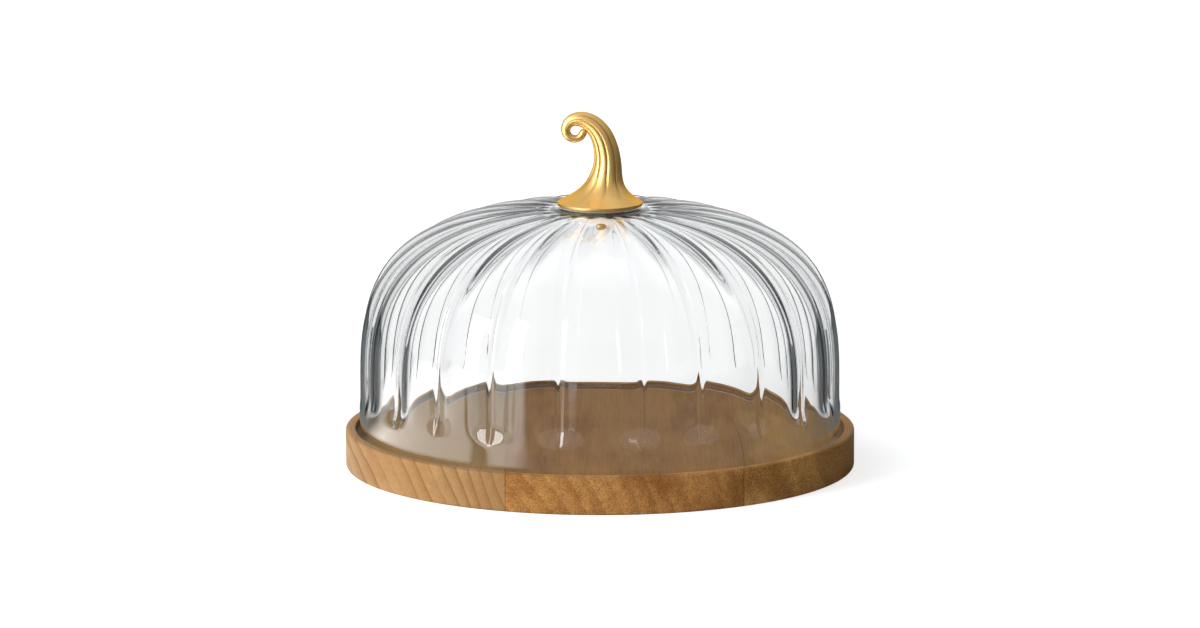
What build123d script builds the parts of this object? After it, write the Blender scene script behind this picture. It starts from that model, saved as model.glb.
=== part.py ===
from build123d import *

import os
from math import acos, cos, exp, hypot, pi, radians, sin

# Cheese dome: a fluted glass cover, lifted by a cast brass stem, on a turned wooden board.
# Millimetres. The board's axis is Z, its underside is at Z = 0, and the front faces -Y.
# Everything above the board is centred on the same axis and lifts straight up.

# --- Glass cover -----------------------------------------------------------------------
dome_diameter = 240.0  # over the plain band at the rim, and over the crests of the flutes
dome_height = 114.0  # from the rim to the flat crown
wall_height = 28.0  # upright part of the wall, from the rim to where the shoulder starts
shoulder_fullness = 2.9  # exponent of the shoulder's superellipse: 2 is a plain ellipse
glass_thickness = 3.4  # wall, at the crest of a flute; it is thicker under a valley
crown_thickness = 5.0  # flat disc on top
rim_rounding = 1.2  # fire-polished edges of the rim
flute_count = 22
flute_depth = 3.0  # crest to valley, outside
inner_flute_depth = 5.0  # crest to valley, inside: the lobes are blown thin, the valleys stay thick
rim_band_height = 13.0  # plain band below the flutes
flute_run_out = 7.0  # height over which a valley fades into the band
crown_flat_diameter = 52.0  # plain disc that the stem stands on
crown_run_out = 14.0  # distance over which a valley fades into the crown

# --- Board -----------------------------------------------------------------------------
board_thickness = 19.0
recess_depth = 3.0
lip_width = 5.0
rim_clearance = 2.0  # between the glass and the lip, all round
left_joint_offset = 46.0  # glue joints between the staves, measured from the axis
right_joint_offset = 70.0
board_edge_easing = 1.2  # small bevel round the board's outer edges
lip_edge_easing = 0.6  # and round the lip's inner edge

# --- Fixing of the stem through the crown ----------------------------------------------
stud_diameter = 5.0
stud_grip_in_stem = 9.0
stud_grip_in_nut = 3.5
stud_end_chamfer = 0.5
thread_clearance = 0.05
bush_wall = 1.5
bush_clearance = 0.2  # bush in the glass, and stud in the bush
gasket_thickness = 0.8
foot_gasket_inset = 2.0  # gasket's edge inside the foot's edge
clamp_gasket_diameter = 24.0
washer_diameter = 22.0
washer_thickness = 1.0
washer_edge_rounding = 0.4
nut_across_flats = 8.0
nut_hex_height = 2.8
nut_height = 4.5  # over the low cap
nut_cap_diameter = 7.2
nut_cap_rounding = 1.6

# --- Brass stem ------------------------------------------------------------------------
foot_diameter = 42.6
foot_rim_height = 1.6
foot_edge_rounding = 0.8
neck_diameter = 16.0  # the stem's own thickness at the foot, before the flare is added
shoulder_diameter = 12.0  # where the stem turns into the curl
tip_diameter = 3.8
flare_height = 6.0  # height in which most of the foot's flare is gone
flare_sharpness = 1.15
neck_bow = 1.4  # how far the neck bows away from the curl, just above the foot
neck_bow_height = 7.0  # above the foot's rim, where it bows most
upright_height = 16.0  # above the foot, where the sections stop lying flat and follow the lean
stem_leave = 8.0  # how stiffly the stem leaves the foot, and enters the curl
stem_arrive = 14.6
curl_reach = 12.5  # centre of the curl, towards -X from the axis
curl_rise = 37.8  # centre of the curl, above the foot
curl_radius = 4.3  # of the closed part of the curl
curl_swing = 12.5  # how much wider the curl is where the stem runs into it
curl_decay = 48.0  # degrees of turn in which the swing falls to 1/e
curl_start_angle = -26.6
curl_end_angle = 342.0
curl_taper = 2.8  # exponent of the thinning from the shoulder to the tip
ridge_count = 10
ridge_depth = 0.7
ridge_run_in = 12.0  # height above the foot at which the ridges are full

# --- How finely the free-form pieces are laid out --------------------------------------
fade_steps = 3
wall_steps = 2
shoulder_steps = 14
stem_steps = 13
curl_steps = 18
rounding_angles = (0.0, 30.0, 60.0, 80.0)  # stations round the foot's edge and the tip

# --- Worked out from the above ---------------------------------------------------------
dome_radius = dome_diameter / 2
recess_radius = dome_radius + rim_clearance
board_radius = recess_radius + lip_width
floor_z = board_thickness - recess_depth
flutes_z = floor_z + rim_band_height
shoulder_z = floor_z + wall_height
crown_z = floor_z + dome_height
crown_underside_z = crown_z - crown_thickness
foot_z = crown_z + gasket_thickness
clamp_gasket_z = crown_underside_z - gasket_thickness
washer_z = clamp_gasket_z - washer_thickness
stud_hole_radius = stud_diameter / 2 + thread_clearance
bush_bore_radius = stud_diameter / 2 + bush_clearance
bush_radius = bush_bore_radius + bush_wall
glass_hole_radius = bush_radius + bush_clearance


# --- Shared helpers --------------------------------------------------------------------
def smooth_step(share):
    """0 below 0, 1 above 1, and an S-shaped rise between."""
    held = min(max(share, 0.0), 1.0)
    return held * held * (3.0 - 2.0 * held)


def upright(radius, bottom_z, top_z):
    """Solid cylinder on the main axis, between two heights."""
    return Pos(0, 0, bottom_z) * Cylinder(
        radius, top_z - bottom_z, align=(Align.CENTER, Align.CENTER, Align.MIN)
    )


def tube(outer_radius, bore_radius, bottom_z, top_z):
    """Plain tube or washer on the main axis, between two heights."""
    return upright(outer_radius, bottom_z, top_z) - upright(bore_radius, bottom_z, top_z)


def rims_at(solid, z):
    """Round edges of a turned solid that lie flat at one height."""
    return solid.edges().filter_by(GeomType.CIRCLE).filter_by_position(Axis.Z, z, z)


def lobed_ring(lobes, valley_point, crest_point):
    """Closed ring of arcs, each from valley to valley over one crest.

    valley_point and crest_point take an angle in radians. Crest 0 faces the front.
    """
    pitch = 2 * pi / lobes
    front = -pi / 2
    valleys = [valley_point(front + (index - 0.5) * pitch) for index in range(lobes)]
    crests = [crest_point(front + index * pitch) for index in range(lobes)]
    return Wire(
        [ThreePointArc(valleys[k], crests[k], valleys[(k + 1) % lobes]) for k in range(lobes)]
    )


# --- Glass cover -----------------------------------------------------------------------
def cover_profile(wall_radius, top_z):
    """Radius, height and outward unit slope up one face of the glass.

    The wall is upright, then a quarter of a superellipse leads to the flat crown.
    """
    power = shoulder_fullness
    fade_top_z = flutes_z + flute_run_out
    heights = [flutes_z + flute_run_out * k / fade_steps for k in range(fade_steps)]
    heights += [fade_top_z + (shoulder_z - fade_top_z) * k / wall_steps for k in range(wall_steps)]
    profile = [(wall_radius, z, 1.0, 0.0) for z in heights]

    flat_share = crown_flat_diameter / 2 / wall_radius
    rise = (top_z - shoulder_z) / (1 - flat_share**power) ** (1 / power)
    last_angle = acos(flat_share ** (power / 2))
    for k in range(shoulder_steps + 1):
        angle = last_angle * k / shoulder_steps
        out, up = cos(angle) ** (2 / power), sin(angle) ** (2 / power)
        slope_out, slope_up = out ** (power - 1) / wall_radius, up ** (power - 1) / rise
        slope = hypot(slope_out, slope_up)
        profile.append(
            (wall_radius * out, shoulder_z + rise * up, slope_out / slope, slope_up / slope)
        )
    return profile


def fluted_shell(wall_radius, top_z, depth):
    """Solid inside one face of the fluted glass, from the top of the band to the crown."""
    rings = []
    for radius, z, slope_out, slope_up in cover_profile(wall_radius, top_z):
        from_band = smooth_step((z - flutes_z) / flute_run_out)
        from_crown = smooth_step((radius - crown_flat_diameter / 2) / crown_run_out)
        sunk = depth * from_band * from_crown
        valley_radius, valley_z = radius - sunk * slope_out, z - sunk * slope_up

        def crest(angle, radius=radius, z=z):
            return (radius * cos(angle), radius * sin(angle), z)

        def valley(angle, radius=valley_radius, z=valley_z):
            return (radius * cos(angle), radius * sin(angle), z)

        rings.append(lobed_ring(flute_count, valley, crest))
    return Solid.make_loft(rings)


def make_glass_dome():
    """Blown cover: plain band at the rim, flutes up the wall and over the shoulder, flat crown."""
    inner_radius = dome_radius - glass_thickness
    outside = fluted_shell(dome_radius, crown_z, flute_depth)
    inside = fluted_shell(inner_radius, crown_underside_z, inner_flute_depth)
    band = tube(dome_radius, inner_radius, floor_z, flutes_z)
    band = fillet(rims_at(band, floor_z), rim_rounding)
    hole = upright(glass_hole_radius, crown_underside_z, crown_z)
    return outside - inside + band - hole


# --- Board -----------------------------------------------------------------------------
def make_board_staves():
    """Three edge-glued staves, turned together to a round board with a recess and a lip."""
    board = upright(board_radius, 0, board_thickness)
    board = board - upright(recess_radius, floor_z, board_thickness)
    outer = rims_at(board, 0) + rims_at(board, board_thickness).sort_by(SortBy.RADIUS)[-1:]
    board = chamfer(outer, board_edge_easing)
    lip = rims_at(board, board_thickness).sort_by(SortBy.RADIUS)[:1]
    board = chamfer(lip, lip_edge_easing)

    joints = [-board_radius, -left_joint_offset, right_joint_offset, board_radius]
    staves = []
    for start_x, end_x in zip(joints, joints[1:]):
        slab = Pos((start_x + end_x) / 2, 0, 0) * Box(
            end_x - start_x,
            2 * board_radius,
            board_thickness,
            align=(Align.CENTER, Align.CENTER, Align.MIN),
        )
        staves.append(board & slab)
    return staves


# --- Fixing of the stem through the crown ----------------------------------------------
def make_stud():
    """Threaded rod, drawn plain, that ties the stem to the cap nut through the glass."""
    bottom_z, top_z = washer_z - stud_grip_in_nut, foot_z + stud_grip_in_stem
    rod = upright(stud_diameter / 2, bottom_z, top_z)
    return chamfer(rims_at(rod, bottom_z) + rims_at(rod, top_z), stud_end_chamfer)


def make_washer():
    """Brass washer that spreads the nut's load over the lower gasket."""
    washer = tube(washer_diameter / 2, bush_bore_radius, washer_z, clamp_gasket_z)
    lower_rim = rims_at(washer, washer_z).sort_by(SortBy.RADIUS)[-1:]
    return fillet(lower_rim, washer_edge_rounding)


def make_cap_nut():
    """Low cap nut: a hexagon with a rounded cap over a blind bore."""
    hex_prism = extrude(RegularPolygon(nut_across_flats / 2, 6, major_radius=False), -nut_hex_height)
    bottom_z = washer_z - nut_height
    cap = upright(nut_cap_diameter / 2, bottom_z, washer_z - nut_hex_height / 2)
    cap = fillet(rims_at(cap, bottom_z), nut_cap_rounding)
    nut = Pos(0, 0, washer_z) * hex_prism + cap
    return nut - upright(stud_hole_radius, washer_z - stud_grip_in_nut, washer_z)


# --- Brass stem ------------------------------------------------------------------------
def curl_point(angle_degrees):
    """Centreline of the curl: a circle whose radius closes in as it turns."""
    turned = angle_degrees - curl_start_angle
    radius = curl_radius + curl_swing * exp(-turned / curl_decay)
    angle = radians(angle_degrees)
    return Vector(radius * cos(angle) - curl_reach, 0, foot_z + curl_rise + radius * sin(angle))


def curl_heading(angle_degrees):
    """Unit direction of the curl's centreline."""
    ahead, behind = curl_point(angle_degrees + 1), curl_point(angle_degrees - 1)
    return (ahead - behind).normalized()


def stem_stations():
    """Centre, heading, diameter and ridge depth along the stem, from the foot to the tip."""
    stations = []
    upwards = Vector(0, 0, 1)
    for rounding in (radians(angle) for angle in rounding_angles):
        diameter = foot_diameter - 2 * foot_edge_rounding * (1 - sin(rounding))
        height = foot_edge_rounding * (1 - cos(rounding))
        stations.append((Vector(0, 0, foot_z + height), upwards, diameter, 0.0))

    start = Vector(0, 0, foot_z + foot_rim_height)
    end, arrival = curl_point(curl_start_angle), curl_heading(curl_start_angle)
    corners = (start, start + upwards * stem_leave, end - arrival * stem_arrive, end)
    for k in range(stem_steps):
        t = k / stem_steps
        a, b, c, d = corners
        centre = a * (1 - t) ** 3 + b * 3 * t * (1 - t) ** 2 + c * 3 * t * t * (1 - t) + d * t**3
        tangent = ((b - a) * (1 - t) ** 2 + (c - b) * 2 * t * (1 - t) + (d - c) * t * t).normalized()
        above_rim = centre.Z - start.Z
        bowing = (above_rim / neck_bow_height) ** 2
        centre = centre + Vector(neck_bow * bowing * exp(1 - bowing), 0, 0)
        leaning = smooth_step(above_rim / upright_height)
        heading = (upwards * (1 - leaning) + tangent * leaning).normalized()
        neck = neck_diameter + (shoulder_diameter - neck_diameter) * above_rim / (end.Z - start.Z)
        flare = (foot_diameter - neck_diameter) * exp(-((above_rim / flare_height) ** flare_sharpness))
        stations.append((centre, heading, neck + flare, ridge_depth * smooth_step(above_rim / ridge_run_in)))

    for k in range(curl_steps + 1):
        turned = k / curl_steps
        angle = curl_start_angle + (curl_end_angle - curl_start_angle) * turned
        left = (1 - turned) ** curl_taper
        diameter = tip_diameter + (shoulder_diameter - tip_diameter) * left
        stations.append((curl_point(angle), curl_heading(angle), diameter, ridge_depth * left))

    tip, tip_heading = curl_point(curl_end_angle), curl_heading(curl_end_angle)
    for rounding in (radians(angle) for angle in rounding_angles[1:]):
        centre = tip + tip_heading * (tip_diameter / 2 * sin(rounding))
        stations.append((centre, tip_heading, tip_diameter * cos(rounding), 0.0))
    return stations


def make_stem():
    """Cast stem: round foot, ridged neck and a curl towards -X, with a blind tapped hole."""
    rings = []
    for centre, heading, diameter, sunk in stem_stations():
        across = Vector(heading.Z, 0, -heading.X)

        def on_ring(angle, radius, centre=centre, across=across):
            return centre + across * (radius * cos(angle)) + Vector(0, radius * sin(angle), 0)

        crest = diameter / 2
        rings.append(
            lobed_ring(
                ridge_count,
                lambda angle, on_ring=on_ring, radius=crest - sunk: on_ring(angle, radius),
                lambda angle, on_ring=on_ring, radius=crest: on_ring(angle, radius),
            )
        )
    tapped_hole = upright(stud_hole_radius, foot_z, foot_z + stud_grip_in_stem)
    return Solid.make_loft(rings) - tapped_hole


# --- All pieces ------------------------------------------------------------------------
left_stave, middle_stave, right_stave = make_board_staves()
pieces = {
    "board_stave_left": left_stave,
    "board_stave_middle": middle_stave,
    "board_stave_right": right_stave,
    "glass_dome": make_glass_dome(),
    "brass_stem": make_stem(),
    "stem_stud": make_stud(),
    "foot_gasket": tube(foot_diameter / 2 - foot_gasket_inset, bush_bore_radius, crown_z, foot_z),
    "hole_bush": tube(bush_radius, bush_bore_radius, crown_underside_z, crown_z),
    "clamp_gasket": tube(
        clamp_gasket_diameter / 2, bush_bore_radius, clamp_gasket_z, crown_underside_z
    ),
    "clamp_washer": make_washer(),
    "cap_nut": make_cap_nut(),
}

os.makedirs("parts", exist_ok=True)
for name, piece in pieces.items():
    export_step(piece, f"parts/{name}.step")
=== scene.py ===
"""Looks of a fluted glass cheese dome on a round wooden board, lifted by a curled brass stem.

Everything is in metres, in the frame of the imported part: +Z up from the board's underside, the
front towards -Y. Round pieces share one axis, so places are given as a radius from that axis and
a height above the underside.
"""

import logging
import math
from dataclasses import dataclass
from enum import Enum
from typing import Any, Optional, Sequence, Union

import bmesh
import bpy
import numpy as np
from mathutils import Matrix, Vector


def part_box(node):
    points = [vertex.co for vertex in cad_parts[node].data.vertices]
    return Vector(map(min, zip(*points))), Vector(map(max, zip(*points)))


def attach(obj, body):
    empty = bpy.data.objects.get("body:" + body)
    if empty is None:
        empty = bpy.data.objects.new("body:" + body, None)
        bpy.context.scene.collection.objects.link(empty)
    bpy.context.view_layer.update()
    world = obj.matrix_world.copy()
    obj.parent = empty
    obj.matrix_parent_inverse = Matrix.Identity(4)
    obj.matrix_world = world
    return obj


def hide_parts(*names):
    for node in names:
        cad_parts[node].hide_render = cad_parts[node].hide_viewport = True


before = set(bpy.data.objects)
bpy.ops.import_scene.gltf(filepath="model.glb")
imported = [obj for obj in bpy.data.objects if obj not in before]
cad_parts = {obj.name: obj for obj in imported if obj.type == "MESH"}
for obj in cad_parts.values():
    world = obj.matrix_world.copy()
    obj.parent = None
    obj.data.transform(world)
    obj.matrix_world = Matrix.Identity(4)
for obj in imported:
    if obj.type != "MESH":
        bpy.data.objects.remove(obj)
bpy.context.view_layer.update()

log = logging.getLogger("cheese_dome")

MM = 0.001
FRONT = -math.pi / 2
UPWARD = np.array([0.0, 1.0])


# --- Shape helpers ------------------------------------------------------------------------------


def smooth_step(share: np.ndarray) -> np.ndarray:
    """S-shaped rise: 0 below 0, 1 above 1, and 3s^2 - 2s^3 between."""
    held = np.clip(share, 0.0, 1.0)
    return held * held * (3.0 - 2.0 * held)


def round_bump(distance: np.ndarray, half_width: np.ndarray) -> np.ndarray:
    """One raised cosine: 1 at no distance, 0 at the half width and beyond, level at both."""
    return 0.5 + 0.5 * np.cos(math.pi * np.clip(distance / half_width, 0.0, 1.0))


def spread_rows(path: np.ndarray, spacing: np.ndarray) -> np.ndarray:
    """Thins a dense path to rows that lie about as far apart as asked.

    The sum of step / spacing along the path is a smooth count of rows; the path's columns are
    read off where that count is a whole number.

    Args:
        path: Dense points, one per row. The first two columns are the place in metres.
        spacing: Distance wanted between rows, at each point.

    Returns:
        The thinned rows, with the first and last points kept.
    """
    steps = np.hypot(*np.diff(path[:, :2], axis=0).T)
    count = np.concatenate([[0.0], np.cumsum(steps / (0.5 * (spacing[1:] + spacing[:-1])))])
    wanted = np.linspace(0.0, count[-1], int(math.ceil(count[-1])) + 1)
    return np.stack([np.interp(wanted, count, column) for column in path.T], axis=1)


def corner_arc(
    centre: tuple[float, float],
    radius: float,
    start: float,
    end: float,
    steps: int,
) -> np.ndarray:
    """Points of an arc in the radius and height plane, from one angle to another in degrees."""
    angles = np.radians(np.linspace(start, end, steps + 1))
    return np.array(centre) + radius * np.stack([np.cos(angles), np.sin(angles)], axis=1)


@dataclass
class Surface:
    """A grid of points that becomes a closed mesh.

    Attributes:
        points: Places, shaped (rows, columns, 3). The columns run round and close on themselves.
        rows_close: True if the last row joins the first, as round a ring. Otherwise the first
            and last rows are single points on the surface, its poles.
    """

    points: np.ndarray
    rows_close: bool = False

    def quads(self) -> np.ndarray:
        """Works out the grid's four-sided faces.

        Returns:
            The corner numbers, four to a face.
        """
        rows, columns = self.points.shape[:2]
        lower = np.arange(rows if self.rows_close else rows - 1)[:, None]
        here = np.arange(columns)[None, :]
        upper, there = (lower + 1) % rows, (here + 1) % columns
        corners = [
            lower * columns + here,
            lower * columns + there,
            upper * columns + there,
            upper * columns + here,
        ]
        return np.stack(corners, axis=-1).reshape(-1, 4)

    def volume(self, quads: np.ndarray) -> float:
        """Volume inside the faces: the sum over their triangles of a . (b x c) / 6.

        Args:
            quads: Corner numbers of the faces.

        Returns:
            The volume, below zero if the faces point inwards.
        """
        flat = self.points.reshape(-1, 3)
        a, b, c, d = (flat[quads[:, k]] for k in range(4))
        return float((a * (np.cross(b, c) + np.cross(c, d))).sum() / 6)

    def build(self, name: str, layers: Optional[dict[str, np.ndarray]] = None) -> bpy.types.Object:
        """Makes the mesh object, smooth and with its faces outwards.

        Args:
            name: Name of the piece.
            layers: Values for the points, shaped (rows, columns), kept as float attributes.

        Returns:
            The object, at the origin.
        """
        quads = self.quads()
        if self.volume(quads) < 0:
            quads = quads[:, ::-1]
        mesh = bpy.data.meshes.new(name)
        mesh.from_pydata(self.points.reshape(-1, 3).tolist(), [], quads.tolist())
        for label, values in (layers or {}).items():
            layer = mesh.attributes.new(label, "FLOAT", "POINT")
            layer.data.foreach_set("value", values.astype(np.float32).ravel())
        piece = bpy.data.objects.new(name, mesh)
        bpy.context.scene.collection.objects.link(piece)
        if not self.rows_close:
            close_poles(mesh)
        mesh.polygons.foreach_set("use_smooth", np.ones(len(mesh.polygons), bool))
        return piece


def close_poles(mesh: bpy.types.Mesh) -> None:
    """Joins the points that meet at a pole, which turns the squares there into triangles.

    Args:
        mesh: The mesh, which is changed in place.
    """
    shape = bmesh.new()
    shape.from_mesh(mesh)
    bmesh.ops.remove_doubles(shape, verts=shape.verts, dist=1e-7)
    shape.to_mesh(mesh)
    shape.free()


def round_axis(radius: np.ndarray, angles: np.ndarray, height: np.ndarray) -> np.ndarray:
    """Places given round the axis, r cos a, r sin a and z, on the grid that the three span."""
    return np.stack(np.broadcast_arrays(radius * np.cos(angles), radius * np.sin(angles), height), axis=-1)


def turned_surface(profile: np.ndarray, columns: int, rows_close: bool = False) -> Surface:
    """Turns a profile round the axis: (r, z) becomes (r cos a, r sin a, z).

    Args:
        profile: Radius and height of each row.
        columns: Points round the axis.
        rows_close: True for a ring, whose profile closes on itself clear of the axis.

    Returns:
        The turned surface.
    """
    angles = np.linspace(0.0, 2 * math.pi, columns, endpoint=False)
    return Surface(round_axis(profile[:, :1], angles, profile[:, 1:]), rows_close)


def crease(piece: bpy.types.Object, degrees: float) -> None:
    """Keeps edges that turn by more than an angle sharp in the shading."""
    piece.data.set_sharp_from_angle(angle=math.radians(degrees))


# --- Shader helpers -----------------------------------------------------------------------------

Value = Union["Signal", float]


@dataclass(frozen=True)
class Signal:
    """A number that varies over a surface. Arithmetic on it adds Math nodes.

    Attributes:
        bench: Where its nodes are put.
        socket: The output that carries it.
    """

    bench: "Bench"
    socket: bpy.types.NodeSocket

    def _math(self, operation: str, *values: Value) -> "Signal":
        """Adds one Math node."""
        sockets = dict(enumerate(values))
        return self.bench.signal("ShaderNodeMath", {"operation": operation}, sockets)

    def __add__(self, other: Value) -> "Signal":
        """Sum."""
        return self._math("ADD", self, other)

    def __radd__(self, other: float) -> "Signal":
        """Sum, number first."""
        return self._math("ADD", other, self)

    def __sub__(self, other: Value) -> "Signal":
        """Difference."""
        return self._math("SUBTRACT", self, other)

    def __rsub__(self, other: float) -> "Signal":
        """Difference, number first."""
        return self._math("SUBTRACT", other, self)

    def __mul__(self, other: Value) -> "Signal":
        """Product."""
        return self._math("MULTIPLY", self, other)

    def __rmul__(self, other: float) -> "Signal":
        """Product, number first."""
        return self._math("MULTIPLY", other, self)

    def __truediv__(self, other: Value) -> "Signal":
        """Quotient."""
        return self._math("DIVIDE", self, other)

    def __pow__(self, other: Value) -> "Signal":
        """Power."""
        return self._math("POWER", self, other)

    def __abs__(self) -> "Signal":
        """Size without sign."""
        return self._math("ABSOLUTE", self)

    def cycle(self) -> "Signal":
        """Part after the whole number, which climbs from 0 to 1 and starts again."""
        return self._math("FRACT", self)

    def root(self) -> "Signal":
        """Square root."""
        return self._math("SQRT", self)

    def least(self, other: Value) -> "Signal":
        """Lesser of two values."""
        return self._math("MINIMUM", self, other)

    def most(self, other: Value) -> "Signal":
        """Greater of two values."""
        return self._math("MAXIMUM", self, other)

    def ramp(self, low: float, high: float) -> "Signal":
        """S-shaped rise from 0 to 1, or a fall where low is the greater.

        Args:
            low: Value at which the result is 0.
            high: Value at which it is 1.

        Returns:
            The result, which stays at 0 and 1 outside.
        """
        settings = {"interpolation_type": "SMOOTHSTEP", "clamp": True}
        if low < high:
            return self.bench.signal("ShaderNodeMapRange", settings, {0: self, 1: low, 2: high})
        return 1.0 - self.bench.signal("ShaderNodeMapRange", settings, {0: self, 1: high, 2: low})


class Bench:
    """Where a material's or the world's nodes are put together."""

    def __init__(self, tree: bpy.types.NodeTree) -> None:
        """Clears the tree and keeps it."""
        tree.nodes.clear()
        self.tree = tree

    def node(
        self,
        kind: str,
        settings: Optional[dict[str, Any]] = None,
        sockets: Optional[dict[Union[str, int], Any]] = None,
    ) -> bpy.types.Node:
        """Adds any node.

        Args:
            kind: The node's type.
            settings: Its own properties, set before its sockets.
            sockets: Values, signals or sockets for its inputs, by name or number.

        Returns:
            The node.
        """
        made = self.tree.nodes.new(kind)
        for name, value in (settings or {}).items():
            setattr(made, name, value)
        for key, value in (sockets or {}).items():
            target = made.inputs[key]
            if isinstance(value, Signal):
                value = value.socket
            if isinstance(value, bpy.types.NodeSocket):
                self.tree.links.new(value, target)
            else:
                target.default_value = value
        return made

    def signal(
        self,
        kind: str,
        settings: dict[str, Any],
        sockets: dict[Union[str, int], Any],
        output: Union[str, int] = 0,
    ) -> Signal:
        """Adds a node and returns one of its outputs as a Signal."""
        return Signal(self, self.node(kind, settings, sockets).outputs[output])

    def place(self) -> tuple[Signal, Signal, Signal]:
        """X, Y and Z of the piece's own coordinates, in metres."""
        source = self.node("ShaderNodeTexCoord").outputs["Object"]
        return self.split(source)

    def split(self, vector: bpy.types.NodeSocket) -> tuple[Signal, Signal, Signal]:
        """The three numbers of a vector."""
        x, y, z = self.node("ShaderNodeSeparateXYZ", sockets={0: vector}).outputs
        return Signal(self, x), Signal(self, y), Signal(self, z)

    def vector(self, x: Value, y: Value, z: Value) -> bpy.types.NodeSocket:
        """Three numbers as one vector."""
        return self.node("ShaderNodeCombineXYZ", sockets={0: x, 1: y, 2: z}).outputs[0]

    def noise(
        self,
        at: bpy.types.NodeSocket,
        scale: float,
        detail: float = 2.0,
        roughness: float = 0.5,
    ) -> Signal:
        """Smooth noise between 0 and 1."""
        sockets = {"Vector": at, "Scale": scale, "Detail": detail, "Roughness": roughness}
        return self.signal("ShaderNodeTexNoise", {}, sockets)

    def blend(self, share: Value, first: Any, second: Any, how: str = "MIX") -> bpy.types.NodeSocket:
        """Mixes two colours.

        Args:
            share: How much of the second colour there is.
            first: Colour or socket at a share of 0.
            second: Colour or socket at a share of 1.
            how: The Mix node's blend type.

        Returns:
            The mixed colour's socket.
        """
        sockets = {0: share, 6: opaque(first), 7: opaque(second)}
        return self.node("ShaderNodeMix", {"data_type": "RGBA", "blend_type": how}, sockets).outputs[2]

    def bump(self, height: Signal, distance: float, strength: float = 1.0) -> bpy.types.NodeSocket:
        """Normal of a surface with fine relief, whose height is given as a share of a distance."""
        sockets = {"Height": height, "Distance": distance, "Strength": strength}
        return self.node("ShaderNodeBump", sockets=sockets).outputs[0]

    def surface(self, sockets: dict[Union[str, int], Any]) -> None:
        """Adds the main shader, with the sockets given, and links it to the output."""
        shader = self.node("ShaderNodeBsdfPrincipled", sockets=sockets)
        self.node("ShaderNodeOutputMaterial", sockets={0: shader.outputs[0]})


Colour = tuple[float, float, float]


def opaque(colour: Any) -> Any:
    """Adds full opacity to a plain colour and leaves a socket as it is."""
    return (*colour, 1.0) if isinstance(colour, tuple) and len(colour) == 3 else colour


def toned(colour: Colour, red: float, green: float, blue: float) -> Colour:
    """A colour with each channel taken times its share, and no channel above 1."""
    return tuple(min(channel * share, 1.0) for channel, share in zip(colour, (red, green, blue)))


def new_material(name: str) -> tuple[bpy.types.Material, Bench]:
    """An empty node material and the bench to fill it on.

    Args:
        name: Name of the material.

    Returns:
        The material and its bench.
    """
    material = bpy.data.materials.new(name)
    material.use_nodes = True
    return material, Bench(material.node_tree)


# --- Finishes -----------------------------------------------------------------------------------


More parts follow.
